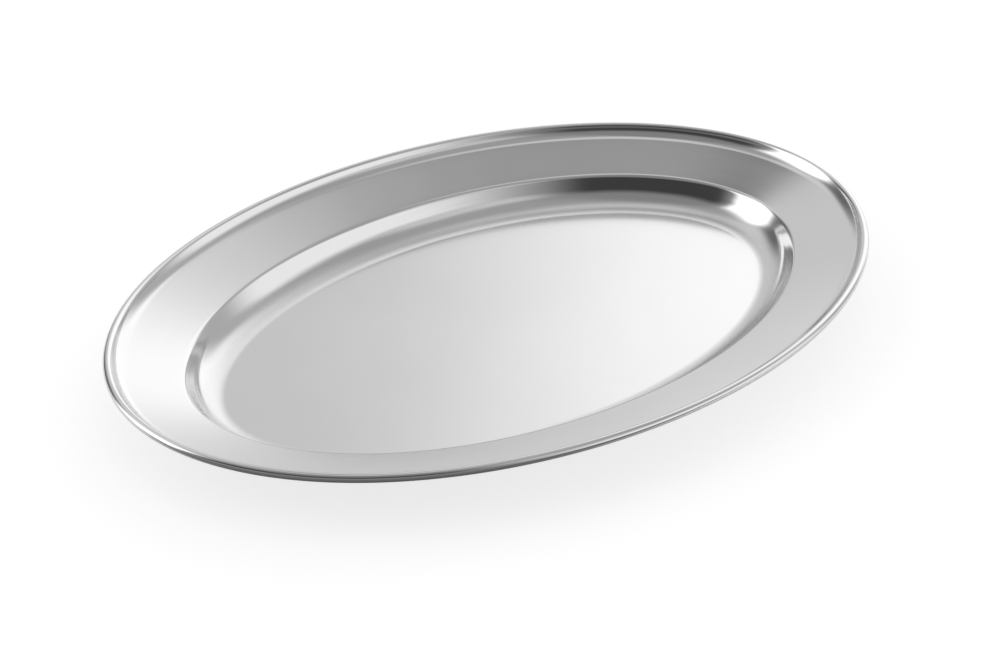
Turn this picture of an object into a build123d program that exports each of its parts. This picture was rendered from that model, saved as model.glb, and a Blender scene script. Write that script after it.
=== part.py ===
"""Oval serving platter pressed from one stainless sheet, with a sunk well, a sloping flange and a rolled edge.

The sheet's middle line is drawn once as a section, given its thickness, and carried round an ellipse.
Every line of the section then runs parallel to the outline, so the flange is equally wide all round.
The origin is at the centre of the underside, +X is along the length and +Z is up.
"""

from build123d import *

import os
from math import atan2, cos, dist, radians, sin, tan

# Overall sizes, over the rolled edge
tray_length = 350.0
tray_width = 240.0
tray_height = 25.0
sheet = 0.6

# Rolled edge
bead_radius = 1.8  # outside radius of the roll
bead_drop = 3.1  # from the roll's centre down to the corner where it meets the flange
bead_inner_angle = 66.0  # slope of the roll's inner side
bead_foot_radius = 8.0  # bend from the flange up into the roll's inner side
bead_lap_angle = 222.0  # how far the roll carries on past its crest

# Flange and well
rim_width = 31.0  # from the outer edge in to the well's edge
well_depth = 12.0  # from the well's edge down to the floor
well_wall_angle = 58.0
shoulder_radius = 3.0  # bend from the wall to the flange
floor_radius = 15.0  # bend from the floor to the wall
floor_strip = 2.0  # flat strip of floor that is swept with the wall

half_sheet = sheet / 2
end_x = tray_length / 2

# Corners of the section's middle line at the +X end
well_edge = (end_x - rim_width, half_sheet + well_depth)
floor_corner = (well_edge[0] - well_depth / tan(radians(well_wall_angle)), half_sheet)
floor_start = (
    floor_corner[0] - floor_radius * tan(radians(well_wall_angle / 2)) - floor_strip,
    half_sheet,
)

bead_middle_radius = bead_radius - half_sheet
bead_centre = (end_x - bead_radius, tray_height - bead_radius)
bead_rise = (cos(radians(bead_inner_angle)), sin(radians(bead_inner_angle)))
bead_start = (
    bead_centre[0] - bead_middle_radius * bead_rise[1],
    bead_centre[1] + bead_middle_radius * bead_rise[0],
)
bead_foot_z = bead_centre[1] - bead_drop
bead_foot = (
    bead_start[0] - (bead_start[1] - bead_foot_z) / tan(radians(bead_inner_angle)),
    bead_foot_z,
)

# The bend at the roll's foot is no larger than the roll's inner slope has room for
flange_angle = atan2(bead_foot[1] - well_edge[1], bead_foot[0] - well_edge[0])
foot_turn = radians(bead_inner_angle) - flange_angle
foot_room = 0.98 * dist(bead_foot, bead_start) / tan(foot_turn / 2)
foot_radius = min(bead_foot_radius, foot_room)

with BuildPart() as tray:
    with BuildLine() as outline:
        EllipticalCenterArc((0, 0), tray_length / 2, tray_width / 2, arc_size=360)
    with BuildSketch(Plane.XZ) as section:
        with BuildLine() as middle:
            FilletPolyline(
                floor_start,
                floor_corner,
                well_edge,
                bead_foot,
                bead_start,
                radius=[floor_radius, shoulder_radius, foot_radius],
            )
            JernArc(bead_start, bead_rise, bead_middle_radius, -(bead_inner_angle + bead_lap_angle))
        trace(line_width=sheet)
    sweep(path=outline.line)
    loops = tray.edges().filter_by(lambda edge: edge.is_closed)
    floor_loop = loops.group_by(Axis.Z)[0].sort_by(SortBy.LENGTH)[0]
    with BuildSketch() as floor:
        make_face(floor_loop)
    extrude(amount=sheet)

tray.part.label = "tray"
os.makedirs("parts", exist_ok=True)
export_step(tray.part, "parts/tray.step")
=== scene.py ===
from math import atan2, cos, degrees, pi, radians, sin, tan

import bpy
import numpy as np
from bpy.props import FloatProperty, FloatVectorProperty, IntProperty, PointerProperty
from mathutils import Matrix, Vector


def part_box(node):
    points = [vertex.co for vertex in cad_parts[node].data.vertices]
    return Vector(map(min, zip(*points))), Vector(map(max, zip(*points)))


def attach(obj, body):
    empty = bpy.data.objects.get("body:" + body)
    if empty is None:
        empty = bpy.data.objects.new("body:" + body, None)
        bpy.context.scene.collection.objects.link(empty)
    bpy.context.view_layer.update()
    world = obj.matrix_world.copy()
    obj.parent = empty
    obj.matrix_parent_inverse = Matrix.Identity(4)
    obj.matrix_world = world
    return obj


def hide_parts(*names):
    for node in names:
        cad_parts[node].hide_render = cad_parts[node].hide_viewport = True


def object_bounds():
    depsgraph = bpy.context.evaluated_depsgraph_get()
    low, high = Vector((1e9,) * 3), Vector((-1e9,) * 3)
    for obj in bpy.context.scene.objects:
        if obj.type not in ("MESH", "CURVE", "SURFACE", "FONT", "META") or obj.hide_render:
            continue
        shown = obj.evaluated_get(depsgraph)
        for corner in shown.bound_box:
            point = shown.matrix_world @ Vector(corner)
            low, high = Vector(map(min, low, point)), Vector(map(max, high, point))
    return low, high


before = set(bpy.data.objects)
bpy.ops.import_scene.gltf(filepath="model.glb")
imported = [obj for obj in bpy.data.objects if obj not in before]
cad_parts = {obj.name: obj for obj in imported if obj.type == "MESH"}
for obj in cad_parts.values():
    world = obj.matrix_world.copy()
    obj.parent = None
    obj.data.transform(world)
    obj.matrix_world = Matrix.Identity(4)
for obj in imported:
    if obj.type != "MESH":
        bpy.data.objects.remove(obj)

bl_info = {
    "name": "Oval Serving Platter",
    "version": (1, 0, 0),
    "blender": (4, 5, 0),
    "location": "View3D > Sidebar > Platter",
    "description": "Makes a pressed stainless steel oval platter and a studio to show it in",
    "category": "Add Mesh",
}

CAD_LOW, CAD_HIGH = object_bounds()
TRAY_LOW, TRAY_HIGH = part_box("tray")
TRAY_SIZE = TRAY_HIGH - TRAY_LOW
MM = 0.001

# Mesh steps along each part of the section, and across the flat floor
FLOOR_BEND_STEPS = 16
SHOULDER_STEPS = 12
FLANGE_STEPS = 5
FOOT_STEPS = 8
ROLL_STEPS = 56
FREE_EDGE_STEPS = 8
FLOOR_RINGS = 12


# ---------------------------------------------------------------- sizes and colours


class PlatterShape(bpy.types.PropertyGroup):
    """The section of the platter, which is carried round an ellipse"""

    length: FloatProperty(
        name="Length", description="Over the roll, along X", default=TRAY_SIZE.x, unit="LENGTH"
    )
    width: FloatProperty(
        name="Width", description="Over the roll, along Y", default=TRAY_SIZE.y, unit="LENGTH"
    )
    height: FloatProperty(name="Height", description="Top of the roll", default=TRAY_SIZE.z, unit="LENGTH")
    sheet: FloatProperty(name="Sheet", description="Thickness of the steel", default=0.6 * MM, unit="LENGTH")
    bead_radius: FloatProperty(
        name="Roll radius", description="Outside radius of the rolled edge", default=1.8 * MM, unit="LENGTH"
    )
    bead_drop: FloatProperty(
        name="Roll drop",
        description="From the roll's centre down to its foot",
        default=3.1 * MM,
        unit="LENGTH",
    )
    bead_inner_angle: FloatProperty(
        name="Roll inner slope",
        description="Slope of the roll's inner side",
        default=radians(66),
        subtype="ANGLE",
    )
    bead_foot_radius: FloatProperty(
        name="Roll foot radius", description="Bend from the flange to the roll", default=8 * MM, unit="LENGTH"
    )
    bead_lap_angle: FloatProperty(
        name="Roll lap",
        description="How far the roll turns past its crest",
        default=radians(222),
        subtype="ANGLE",
    )
    rim_width: FloatProperty(
        name="Rim width", description="Outer edge in to the well's edge", default=31 * MM, unit="LENGTH"
    )
    well_depth: FloatProperty(name="Well depth", description="Edge to floor", default=12 * MM, unit="LENGTH")
    well_wall_angle: FloatProperty(
        name="Well wall slope", description="Slope of the well's wall", default=radians(58), subtype="ANGLE"
    )
    shoulder_radius: FloatProperty(
        name="Shoulder radius", description="Bend from the wall to the flange", default=3 * MM, unit="LENGTH"
    )
    floor_radius: FloatProperty(
        name="Floor radius", description="Bend from the floor to the wall", default=15 * MM, unit="LENGTH"
    )
    floor_strip: FloatProperty(
        name="Floor strip", description="Flat strip beside that bend", default=2 * MM, unit="LENGTH"
    )
    around: IntProperty(name="Steps round", description="Mesh steps round the ellipse", default=400, min=64)


class PlatterFinish(bpy.types.PropertyGroup):
    """The steel's colour and how finely it is polished"""

    steel: FloatVectorProperty(
        name="Steel", description="Colour of the bare steel", default=(0.70, 0.70, 0.70), subtype="COLOR"
    )
    satin: FloatProperty(name="Satin", description="Roughness of the floor and flange", default=0.17)
    polished: FloatProperty(name="Polished", description="Roughness of the roll and the wall", default=0.11)
    grain: FloatProperty(name="Grain", description="Strength of the fine grain", default=0.05)
    ripple: FloatProperty(
        name="Ripple", description="Height of the waves in the buffed steel", default=0.05 * MM, unit="LENGTH"
    )


class PlatterStudio(bpy.types.PropertyGroup):
    """The camera, the floor and the light"""

    azimuth: FloatProperty(
        name="Azimuth", description="Where the camera stands", default=radians(-34.1), subtype="ANGLE"
    )
    elevation: FloatProperty(
        name="Elevation", description="Camera's height", default=radians(33.5), subtype="ANGLE"
    )
    distance: FloatProperty(
        name="Distance", description="Camera to the well's floor", default=0.854, unit="LENGTH"
    )
    lens: FloatProperty(name="Lens", description="Focal length in millimetres", default=72.0)
    aim_side: FloatProperty(
        name="Aim sideways", description="Aim left of the centre", default=1.8 * MM, unit="LENGTH"
    )
    aim_down: FloatProperty(
        name="Aim down", description="Aim below the centre", default=5.0 * MM, unit="LENGTH"
    )
    floor_colour: FloatVectorProperty(
        name="Floor", description="Colour of the floor", default=(0.93, 0.93, 0.93), subtype="COLOR"
    )
    floor_glow: FloatProperty(
        name="Floor glow", description="How far the floor is lit from below", default=0.74
    )
    floor_light: FloatProperty(name="Floor light", description="Extra light on the floor alone", default=0.9)
    floor_reach: FloatProperty(
        name="Floor reach", description="Radius of the floor", default=12.0, unit="LENGTH"
    )
    light: FloatProperty(name="Light", description="Strength of all the light together", default=1.0)


# ---------------------------------------------------------------- shader maths


class Value:
    """A number's socket that takes part in Python expressions."""

    def __init__(self, tree, socket):
        self.tree = tree
        self.socket = socket

    def _math(self, operation, *others):
        return self.tree.add("ShaderNodeMath", {"operation": operation}, dict(enumerate((self, *others))))

    def __add__(self, other):
        return self._math("ADD", other)

    def __sub__(self, other):
        return self._math("SUBTRACT", other)

    def __rsub__(self, other):
        return self.tree.add("ShaderNodeMath", {"operation": "SUBTRACT"}, {0: other, 1: self})

    def __mul__(self, other):
        return self._math("MULTIPLY", other)

    def __abs__(self):
        return self._math("ABSOLUTE")

    def wrap(self, high, low):
        return self._math("WRAP", high, low)

    def atan2(self, other):
        return self._math("ARCTAN2", other)

    def asin(self):
        return self._math("ARCSINE")

    __radd__ = __add__
    __rmul__ = __mul__

    def ramp(self, low, high):
        """0 up to low, 1 from high, and a smooth step between."""
        return self.tree.add(
            "ShaderNodeMapRange",
            {"interpolation_type": "SMOOTHSTEP", "clamp": True},
            {"Value": self, "From Min": low, "From Max": high},
        )


class Tree:
    """A node tree, filled by one method."""

    def __init__(self, owner):
        owner.use_nodes = True
        self.tree = owner.node_tree
        self.tree.nodes.clear()

    def add(self, kind, settings=None, inputs=None, output=0):
        """Makes a node, sets its settings, fills its sockets with values or links, and returns one output."""
        node = self.tree.nodes.new(kind)
        for name, setting in (settings or {}).items():
            setattr(node, name, setting)
        for name, given in (inputs or {}).items():
            if isinstance(given, Value):
                self.tree.links.new(given.socket, node.inputs[name])
            else:
                node.inputs[name].default_value = given
        return Value(self, node.outputs[output]) if node.outputs else None

    def dot(self, first, second):
        return self.add("ShaderNodeVectorMath", {"operation": "DOT_PRODUCT"}, {0: first, 1: second}, "Value")

    def noise(self, vector, scale, detail, roughness=0.5):
        sockets = {"Vector": vector, "Scale": scale, "Detail": detail, "Roughness": roughness}
        return self.add("ShaderNodeTexNoise", None, sockets)

    def stretched_noise(self, place, across, along_scale, across_scale, detail, roughness=0.5):
        """Noise with its own scale over the ground plan, and another along the distance across the skin."""
        x, y = (self.add("ShaderNodeSeparateXYZ", None, {"Vector": place}, output=name) for name in "XY")
        ground = {"X": x * along_scale, "Y": y * along_scale, "Z": across * across_scale}
        return self.noise(self.add("ShaderNodeCombineXYZ", None, ground), 1.0, detail, roughness)


# ---------------------------------------------------------------- the platter's section


# The most of the roll's inner slope that the bend at its foot may take up
FOOT_FIT = 0.98

# How far the steel is buffed. The floor's bend has its polish at shares of its length. Its lower part is
# set duller than satin only to keep thin rings out of its reflections, and not from any known finish.
SATIN = 0.0
BUFFED = 1.0
FLANGE_EDGE = 0.3
UNDERSIDE_SHARE = 0.4
FLOOR_BEND_POLISH = ([0.0, 0.2, 0.5, 0.8], [SATIN, -1.6, -1.6, BUFFED])


def bend(before, corner, after, radius, steps):
    """A corner's tangent arc: points, and unit normals on the left of the way along it.

    The arc starts radius * tan(turn / 2) before the corner, and its normal turns evenly from the first
    run's to the second's."""
    way_in = (corner - before) / np.linalg.norm(corner - before)
    way_out = (after - corner) / np.linalg.norm(after - corner)
    turn = atan2(way_in[0] * way_out[1] - way_in[1] * way_out[0], way_in @ way_out)
    side = np.sign(turn)
    start = corner - way_in * radius * tan(abs(turn) / 2)
    centre = start + side * radius * np.array([-way_in[1], way_in[0]])
    heading = atan2(way_in[1], way_in[0]) + np.linspace(0, turn, steps + 1)
    normals = np.stack([-np.sin(heading), np.cos(heading)], axis=1)
    return centre - side * radius * normals, normals


def middle_line(shape):
    """The sheet's middle line at the +X end, from the floor out to the roll's free edge.

    Each point has its place (x, z), its normal on the upper side, and a polish: 0 is satin, 1 is buffed and
    less than 0 is duller than satin. The line is a floor corner, a shoulder and a roll foot, each a tangent
    arc, joined by straight runs, and then a circle of the roll's middle radius, for the roll's inner slope
    plus its lap. The foot's bend is no larger than the roll's inner slope has room for."""
    half = shape.sheet / 2
    end = shape.length / 2
    edge = np.array([end - shape.rim_width, half + shape.well_depth])
    corner = np.array([edge[0] - shape.well_depth / tan(shape.well_wall_angle), half])
    start = corner - np.array([shape.floor_radius * tan(shape.well_wall_angle / 2) + shape.floor_strip, 0])
    rise = np.array([cos(shape.bead_inner_angle), sin(shape.bead_inner_angle)])
    radius = shape.bead_radius - half
    centre = np.array([end - shape.bead_radius, shape.height - shape.bead_radius])
    roll_start = centre + radius * np.array([-rise[1], rise[0]])
    foot = roll_start - rise * (roll_start[1] - centre[1] + shape.bead_drop) / rise[1]

    floor_bend = bend(start, corner, edge, shape.floor_radius, FLOOR_BEND_STEPS)
    shoulder = bend(corner, edge, foot, shape.shoulder_radius, SHOULDER_STEPS)
    foot_turn = shape.bead_inner_angle - atan2(foot[1] - edge[1], foot[0] - edge[0])
    foot_room = FOOT_FIT * np.linalg.norm(roll_start - foot) / tan(foot_turn / 2)
    foot_bend = bend(edge, foot, roll_start, min(shape.bead_foot_radius, foot_room), FOOT_STEPS)
    roll_turn = np.linspace(0, shape.bead_inner_angle + shape.bead_lap_angle, ROLL_STEPS + 1)
    heading = shape.bead_inner_angle - roll_turn
    roll_normals = np.stack([-np.sin(heading), np.cos(heading)], axis=1)
    roll = (centre + radius * roll_normals, roll_normals)

    flange = np.linspace(shoulder[0][-1], foot_bend[0][0], FLANGE_STEPS + 1)[1:-1]
    flange_normals = np.broadcast_to(shoulder[1][-1], flange.shape)
    bend_polish = np.interp(np.linspace(0, 1, FLOOR_BEND_STEPS + 1), *FLOOR_BEND_POLISH)
    parts = [
        (start[None], floor_bend[1][:1], SATIN),
        (*floor_bend, bend_polish),
        (*shoulder, np.linspace(BUFFED, FLANGE_EDGE, SHOULDER_STEPS + 1)),
        (flange, flange_normals, SATIN),
        (*foot_bend, np.linspace(FLANGE_EDGE, BUFFED, FOOT_STEPS + 1)),
        (roll[0][1:], roll[1][1:], BUFFED),
    ]
    points = np.concatenate([part[0] for part in parts])
    normals = np.concatenate([part[1] for part in parts])
    polish = np.concatenate([np.broadcast_to(part[2], len(part[0])) for part in parts])
    return points, normals, polish


def whole_section(shape):
    """The sheet's whole skin: its upper side outwards, round the free edge, and its underside back inwards.

    Each side is the middle line moved half the sheet along its normal. The free edge is a half circle of
    half the sheet, which turns from the upper side's normal to the underside's. The underside is buffed
    less."""
    points, normals, polish = middle_line(shape)
    half = shape.sheet / 2
    sweep = np.linspace(0, pi, FREE_EDGE_STEPS + 1)[1:-1]
    last = normals[-1]
    ahead = np.array([last[1], -last[0]])
    edge_normals = np.cos(sweep)[:, None] * last + np.sin(sweep)[:, None] * ahead
    skin_normals = np.concatenate([normals, edge_normals, -normals[::-1]])
    skin_points = np.concatenate([points, np.repeat(points[-1:], len(sweep), axis=0), points[::-1]])
    skin_polish = np.concatenate([polish, np.full(len(sweep), BUFFED), UNDERSIDE_SHARE * polish[::-1]])
    return skin_points + half * skin_normals, skin_normals, skin_polish


def carry_round(shape, section, normals):
    """Carries a section round the ellipse: place = E(t) + (x - a) N(t), with z kept, and a the half length.

    E(t) = (a cos t, b sin t) is the outline, and N(t) = (b cos t, a sin t) / |..| its outward normal, so
    every line of the section runs parallel to the outline."""
    half_length, half_width = shape.length / 2, shape.width / 2
    turn = np.arange(shape.around) * 2 * pi / shape.around
    outline = np.stack([half_length * np.cos(turn), half_width * np.sin(turn)], axis=1)
    outward = np.stack([half_width * np.cos(turn), half_length * np.sin(turn)], axis=1)
    outward /= np.linalg.norm(outward, axis=1, keepdims=True)
    inset = section[:, 0] - half_length
    places = np.empty((len(section), shape.around, 3))
    places[..., :2] = outline + inset[:, None, None] * outward
    places[..., 2] = section[:, 1, None]
    facing = np.empty_like(places)
    facing[..., :2] = normals[:, 0, None, None] * outward
    facing[..., 2] = normals[:, 1, None]
    return places, facing


def floor_rings(loop, facing):
    """Rings that shrink a flat loop evenly towards its centre, without the loop itself and the centre."""
    share = np.linspace(0, 1, FLOOR_RINGS + 2)[1:-1]
    places = loop * share[:, None, None]
    places[..., 2] = loop[0, 2]
    return places, np.broadcast_to(facing, places.shape)


def quads(rows, columns):
    """Faces between neighbouring rows of a grid that closes on itself along its columns."""
    row = np.arange(rows - 1)[:, None] * columns
    here = np.arange(columns)
    after = (here + 1) % columns
    below = row + columns
    return np.stack([row + here, row + after, below + after, below + here], axis=-1).reshape(-1, 4)


def platter_mesh(shape):
    """The closed skin of the pressed sheet, as rows from the middle of the floor's top, out and round the
    roll, and back along the underside to its middle, with a pole at each end.

    Two attributes go with each point: its polish, and how far it lies from the first row, along the skin."""
    section, section_normals, section_polish = whole_section(shape)
    places, facing = carry_round(shape, section, section_normals)
    top, top_facing = floor_rings(places[0], np.array([0.0, 0.0, 1.0]))
    under, under_facing = floor_rings(places[-1], np.array([0.0, 0.0, -1.0]))
    places = np.concatenate([top, places, under[::-1]])
    facing = np.concatenate([top_facing, facing, under_facing[::-1]])
    flat_polish = np.full(FLOOR_RINGS, SATIN)
    polish = np.concatenate([flat_polish, section_polish, flat_polish])
    run = np.linalg.norm(np.diff(places[:, 0], axis=0), axis=1)
    across = np.concatenate([[0.0], np.cumsum(run)])

    rows, columns = places.shape[:2]
    count = rows * columns
    poles = np.array([[0, 0, places[0, 0, 2]], [0, 0, places[-1, 0, 2]]])
    vertices = np.concatenate([places.reshape(-1, 3), poles])
    vertex_normals = np.concatenate([facing.reshape(-1, 3), [[0, 0, 1], [0, 0, -1]]])
    here = np.arange(columns)
    after = (here + 1) % columns
    last = (rows - 1) * columns
    top_fan = np.stack([np.full(columns, count), here, after], axis=1)
    under_fan = np.stack([np.full(columns, count + 1), last + after, last + here], axis=1)

    mesh = bpy.data.meshes.new("platter")
    body = quads(rows, columns)[:, ::-1]
    loops = np.concatenate([top_fan.ravel(), body.ravel(), under_fan.ravel()])
    sizes = np.concatenate([np.full(columns, 3), np.full(len(body), 4), np.full(columns, 3)])
    starts = np.concatenate([[0], np.cumsum(sizes)[:-1]])
    mesh.vertices.add(len(vertices))
    mesh.vertices.foreach_set("co", vertices.ravel())
    mesh.loops.add(len(loops))
    mesh.loops.foreach_set("vertex_index", loops)
    mesh.polygons.add(len(sizes))
    mesh.polygons.foreach_set("loop_start", starts)
    mesh.polygons.foreach_set("use_smooth", np.ones(len(sizes), dtype=bool))
    mesh.update(calc_edges=True)
    for name, by_row in (("polish", polish), ("across", across)):
        values = np.concatenate([np.repeat(by_row, columns), by_row[[0, -1]]])
        mesh.attributes.new(name, "FLOAT", "POINT").data.foreach_set("value", values)
    mesh.validate()
    mesh.normals_split_custom_set_from_vertices(vertex_normals)
    return mesh


# ---------------------------------------------------------------- materials


# The noises' scales, per metre, and how fine their detail is
CLOUD_SCALE, CLOUD_DETAIL = 14.0, 3.0
GRAIN_SCALE, GRAIN_DETAIL = 2200.0, 2.0
RING_ALONG, RING_ACROSS, RING_DETAIL, RING_BREAKUP = 12.0, 1800.0, 3.0, 0.6
RIPPLE_ALONG, RIPPLE_ACROSS, RIPPLE_DETAIL = 30.0, 260.0, 1.0

# How far the cloud and the rings change the roughness, how high the rings stand beside the grain, how much
# of the grain the buffing takes off, and where and how far the cloud darkens the steel
CLOUD_ROUGHNESS, RING_ROUGHNESS = 0.06, 0.05
RING_HEIGHT = 0.8
GRAIN_BUFFED_OFF = 0.7
GRAIN_DEPTH = 0.02 * MM
CLOUD_EDGES = (0.3, 0.7)
CLOUD_SHADE = 0.97


def stainless_steel(finish):
    """Bare steel: satin, and buffed where polish is 1, with a fine grain and faint rings from polishing.

    Roughness runs from satin to polished by the polish, and varies a little with a cloud and the rings. The
    bump is the grain and the rings, and over it a slow ripple as high as the polish. Cloud, grain, rings and
    ripple are noises about 0.5."""
    material = bpy.data.materials.new("stainless_steel")
    tree = Tree(material)
    place = tree.add("ShaderNodeTexCoord", output="Object")
    polish = tree.add("ShaderNodeAttribute", {"attribute_name": "polish"}, output="Fac")
    across = tree.add("ShaderNodeAttribute", {"attribute_name": "across"}, output="Fac")

    cloud = tree.noise(place, CLOUD_SCALE, CLOUD_DETAIL)
    grain = tree.noise(place, GRAIN_SCALE, GRAIN_DETAIL)
    rings = tree.stretched_noise(place, across, RING_ALONG, RING_ACROSS, RING_DETAIL, RING_BREAKUP)
    ripple = tree.stretched_noise(place, across, RIPPLE_ALONG, RIPPLE_ACROSS, RIPPLE_DETAIL)

    roughness = finish.satin + polish * (finish.polished - finish.satin)
    roughness = roughness + (cloud - 0.5) * CLOUD_ROUGHNESS + (rings - 0.5) * RING_ROUGHNESS
    height = (grain - 0.5) * (1 - polish * GRAIN_BUFFED_OFF) + (rings - 0.5) * RING_HEIGHT
    grain_bump = {"Strength": finish.grain, "Distance": GRAIN_DEPTH, "Height": height}
    grained = tree.add("ShaderNodeBump", None, grain_bump, "Normal")
    waves = (ripple - 0.5) * polish
    ripple_bump = {"Strength": 1.0, "Distance": finish.ripple, "Height": waves, "Normal": grained}
    rippled = tree.add("ShaderNodeBump", None, ripple_bump, "Normal")
    tone = tree.add(
        "ShaderNodeMix",
        {"data_type": "RGBA"},
        {
            "Factor": cloud.ramp(*CLOUD_EDGES),
            "A": (*[part * CLOUD_SHADE for part in finish.steel], 1.0),
            "B": (*finish.steel, 1.0),
        },
        "Result",
    )
    shader = tree.add(
        "ShaderNodeBsdfPrincipled",
        None,
        {"Base Color": tone, "Metallic": 1.0, "Roughness": roughness, "Normal": rippled},
    )
    tree.add("ShaderNodeOutputMaterial", None, {"Surface": shader})
    return material


WHITE = (1.0, 1.0, 1.0, 1.0)
BLACK = (0.0, 0.0, 0.0, 1.0)
PAPER_ROUGHNESS = 0.9
PAPER_GLOSS = 0.1
GLOW_BRIGHTNESS = 1.05

# Painted shade, seen only in the steel: how much darker the steel sees the floor in front of the platter, and
# between which distances in metres from the platter's middle that comes in
PAINTED_FRONT_SHADE = 0.8
FRONT_STARTS, FRONT_DARKEST = 0.09, 0.15


def floor_paint(studio):
    """Smooth pale paper, which the camera sees partly lit through from below, so that its shadows are faint.

    The steel sees the strip of it in front of the platter darker than it is: painted shade, in its
    reflections only."""
    material = bpy.data.materials.new("floor_paper")
    tree = Tree(material)
    place = tree.add("ShaderNodeTexCoord", output="Object")
    # Painted shade: glossy rays from the steel see the floor in front of the platter darkened towards black
    nearer = tree.dot(place, tuple(heading_vector(studio, 180.0, 0.0)))
    in_steel = tree.add("ShaderNodeLightPath", output="Is Glossy Ray")
    shade = tree.add(
        "ShaderNodeMix",
        {"data_type": "RGBA"},
        {
            "Factor": in_steel * nearer.ramp(FRONT_STARTS, FRONT_DARKEST) * PAINTED_FRONT_SHADE,
            "A": (*studio.floor_colour, 1.0),
            "B": BLACK,
        },
        "Result",
    )
    paper = tree.add(
        "ShaderNodeBsdfPrincipled",
        None,
        {"Base Color": shade, "Roughness": PAPER_ROUGHNESS, "Specular IOR Level": PAPER_GLOSS},
    )
    glow = tree.add("ShaderNodeEmission", None, {"Color": WHITE, "Strength": GLOW_BRIGHTNESS})
    seen = tree.add("ShaderNodeLightPath", output="Is Camera Ray")
    shader = tree.add("ShaderNodeMixShader", None, {0: seen * studio.floor_glow, 1: paper, 2: glow})
    tree.add("ShaderNodeOutputMaterial", None, {"Surface": shader})
    return material


# ---------------------------------------------------------------- studio


def heading_vector(studio, azimuth, elevation):
    """A unit vector at an azimuth, right of the camera's line of sight, and an elevation, in degrees."""
    turn = radians(azimuth) - studio.azimuth
    lift = radians(elevation)
    return Vector((sin(turn) * cos(lift), cos(turn) * cos(lift), sin(lift)))


ROOM_LIGHT = 0.45
BACKDROP_LIGHT = 1.0
FLOOR_SIDES = 96
FLOOR_GAP = 0.05 * MM

# Azimuth of the middle, right of the camera's line of sight, and half width; elevation of the middle and
# half height; how soft the sides and the top and bottom are, all in degrees; and brightness. A later patch
# lies over the earlier ones.
PATCHES = {
    "behind": (198.0, 54.0, 30.0, 70.0, 16.0, 10.0, 0.30),
    "behind_dark": (199.0, 42.0, 35.0, 13.0, 8.0, 10.0, 0.06),
    "right_wall": (102.0, 34.0, 16.0, 19.0, 16.0, 10.0, 1.15),
    "right_gap": (58.0, 14.0, 24.0, 34.0, 8.0, 6.0, 0.55),
    "right_high": (126.0, 20.0, 43.0, 8.0, 8.0, 6.0, 0.75),
    "above_front": (5.0, 56.0, 76.0, 11.0, 14.0, 5.0, 0.78),
    "rear_haze": (20.0, 28.0, 46.0, 9.0, 10.0, 5.0, 0.88),
    "rear_left": (-16.0, 12.0, 20.0, 30.0, 7.0, 6.0, 0.78),
    "rear_window": (23.5, 24.5, 8.0, 34.0, 9.0, 7.0, 1.41),
    "rear_arc": (2.0, 20.0, 59.0, 6.0, 7.0, 4.0, 0.38),
    "rear_card": (-12.0, 6.0, 55.0, 6.0, 2.0, 3.0, 0.27),
    "left_front": (-44.0, 18.0, 48.0, 16.0, 9.0, 8.0, 0.84),
    "key": (-88.0, 22.0, 20.0, 28.0, 5.0, 10.0, 1.8),
    "left_gap": (-50.0, 13.0, 11.0, 18.0, 9.0, 12.0, 0.18),
}


def patch(azimuth, elevation, middle, wide, level, high, soft_side, soft_top):
    """A soft-edged rectangle on the sky: the product of a smooth step down across each pair of edges.

    The azimuth is wrapped about the patch's middle, so a patch can lie across the line behind the camera."""
    off_side = abs((azimuth - middle).wrap(180.0, -180.0))
    off_level = abs(elevation - level)
    beside = off_side.ramp(wide - soft_side, wide + soft_side)
    beyond = off_level.ramp(high - soft_top, high + soft_top)
    return (1 - beside) * (1 - beyond)


def studio_light(studio):
    """A dim room with broad soft patches of light, far away, and a plain pale backdrop for the camera.

    A direction's azimuth is atan2(d.right, d.forward) and its elevation asin(d.z), both in degrees, and
    each patch in turn replaces the light by its own over its own span of both. What falls on the floor
    is stronger, as from lamps that are too small to show on the steel."""
    world = bpy.data.worlds.new("studio")
    bpy.context.scene.world = world
    tree = Tree(world)
    generated = tree.add("ShaderNodeTexCoord", output="Generated")
    direction = tree.add("ShaderNodeVectorMath", {"operation": "NORMALIZE"}, {0: generated})
    ahead = tree.dot(direction, tuple(heading_vector(studio, 0.0, 0.0)))
    aside = tree.dot(direction, tuple(heading_vector(studio, 90.0, 0.0)))
    upward = tree.dot(direction, (0.0, 0.0, 1.0))
    azimuth = aside.atan2(ahead) * degrees(1)
    elevation = upward.asin() * degrees(1)
    light = ROOM_LIGHT
    for *place, brightness in PATCHES.values():
        light = light + patch(azimuth, elevation, *place) * (brightness - light)
    seen = tree.add("ShaderNodeLightPath", output="Is Camera Ray")
    spread = tree.add("ShaderNodeLightPath", output="Is Diffuse Ray")
    strength = light * studio.light * (1 + spread * studio.floor_light)
    strength = strength * (1 - seen) + seen * BACKDROP_LIGHT
    background = tree.add("ShaderNodeBackground", None, {"Color": WHITE, "Strength": strength})
    tree.add("ShaderNodeOutputWorld", None, {"Surface": background})


def studio_camera(studio):
    """A camera aimed a little beside the middle of the well's floor."""
    data = bpy.data.cameras.new("camera")
    data.lens = studio.lens
    camera = bpy.data.objects.new("camera", data)
    bpy.context.collection.objects.link(camera)
    forward = heading_vector(studio, 0.0, -degrees(studio.elevation))
    right = forward.cross(Vector((0, 0, 1))).normalized()
    up = right.cross(forward)
    middle = Vector((0, 0, bpy.context.scene.platter_shape.sheet))
    place = middle - right * studio.aim_side - up * studio.aim_down - forward * studio.distance
    turn = Matrix((right, up, -forward)).transposed().to_4x4()
    camera.matrix_world = Matrix.Translation(place) @ turn
    bpy.context.scene.camera = camera


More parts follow.
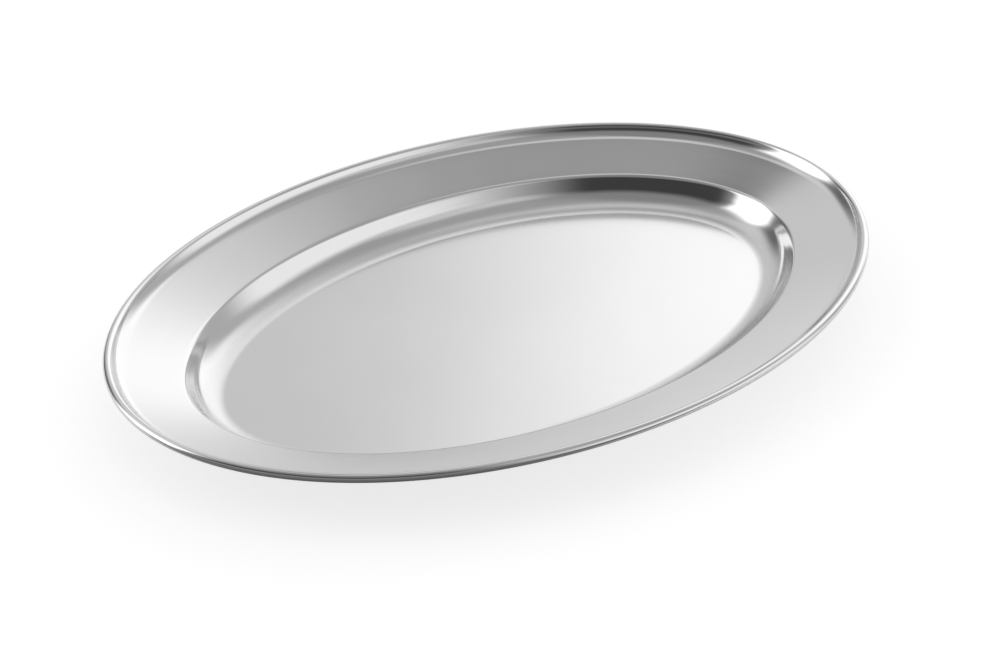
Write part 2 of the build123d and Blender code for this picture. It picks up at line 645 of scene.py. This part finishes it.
def studio_floor(studio):
    """A flat disc just under the platter: place = r (cos t, sin t)."""
    turn = np.arange(FLOOR_SIDES) * 2 * pi / FLOOR_SIDES
    ring = np.stack([np.cos(turn), np.sin(turn), np.zeros(FLOOR_SIDES)], axis=1) * studio.floor_reach
    ring[:, 2] = CAD_LOW.z - FLOOR_GAP
    mesh = bpy.data.meshes.new("floor")
    mesh.from_pydata(ring.tolist(), [], [list(range(FLOOR_SIDES))])
    mesh.materials.append(floor_paint(studio))
    floor = bpy.data.objects.new("floor", mesh)
    bpy.context.collection.objects.link(floor)


# ---------------------------------------------------------------- operators, panel and running


class PLATTER_OT_tray(bpy.types.Operator):
    """Make the pressed platter, in place of its plain solid"""

    bl_idname = "platter.tray"
    bl_label = "Serving platter"

    def execute(self, context):
        scene = context.scene
        mesh = platter_mesh(scene.platter_shape)
        mesh.materials.append(stainless_steel(scene.platter_finish))
        tray = bpy.data.objects.new("pressed_tray", mesh)
        context.collection.objects.link(tray)
        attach(tray, "root")
        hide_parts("tray")
        return {"FINISHED"}


class PLATTER_OT_studio(bpy.types.Operator):
    """Make the floor, the light and the camera"""

    bl_idname = "platter.studio"
    bl_label = "Studio"

    def execute(self, context):
        studio = context.scene.platter_studio
        studio_floor(studio)
        studio_light(studio)
        studio_camera(studio)
        context.scene.view_settings.view_transform = "Standard"
        return {"FINISHED"}


class PLATTER_PT_panel(bpy.types.Panel):
    """The platter's sizes, its finish and its studio"""

    bl_idname = "PLATTER_PT_panel"
    bl_label = "Oval serving platter"
    bl_space_type = "VIEW_3D"
    bl_region_type = "UI"
    bl_category = "Platter"

    def draw(self, context):
        scene = context.scene
        for group in (scene.platter_shape, scene.platter_finish, scene.platter_studio):
            box = self.layout.box()
            for name in type(group).__annotations__:
                box.prop(group, name)
        for operator in (PLATTER_OT_tray, PLATTER_OT_studio):
            self.layout.operator(operator.bl_idname)


CLASSES = (PlatterShape, PlatterFinish, PlatterStudio, PLATTER_OT_tray, PLATTER_OT_studio, PLATTER_PT_panel)


def register():
    for cls in CLASSES:
        bpy.utils.register_class(cls)
    bpy.types.Scene.platter_shape = PointerProperty(type=PlatterShape)
    bpy.types.Scene.platter_finish = PointerProperty(type=PlatterFinish)
    bpy.types.Scene.platter_studio = PointerProperty(type=PlatterStudio)


def unregister():
    del bpy.types.Scene.platter_studio
    del bpy.types.Scene.platter_finish
    del bpy.types.Scene.platter_shape
    for cls in reversed(CLASSES):
        bpy.utils.unregister_class(cls)


def main():
    register()
    bpy.ops.platter.tray()
    bpy.ops.platter.studio()


if __name__ == "__main__":
    main()
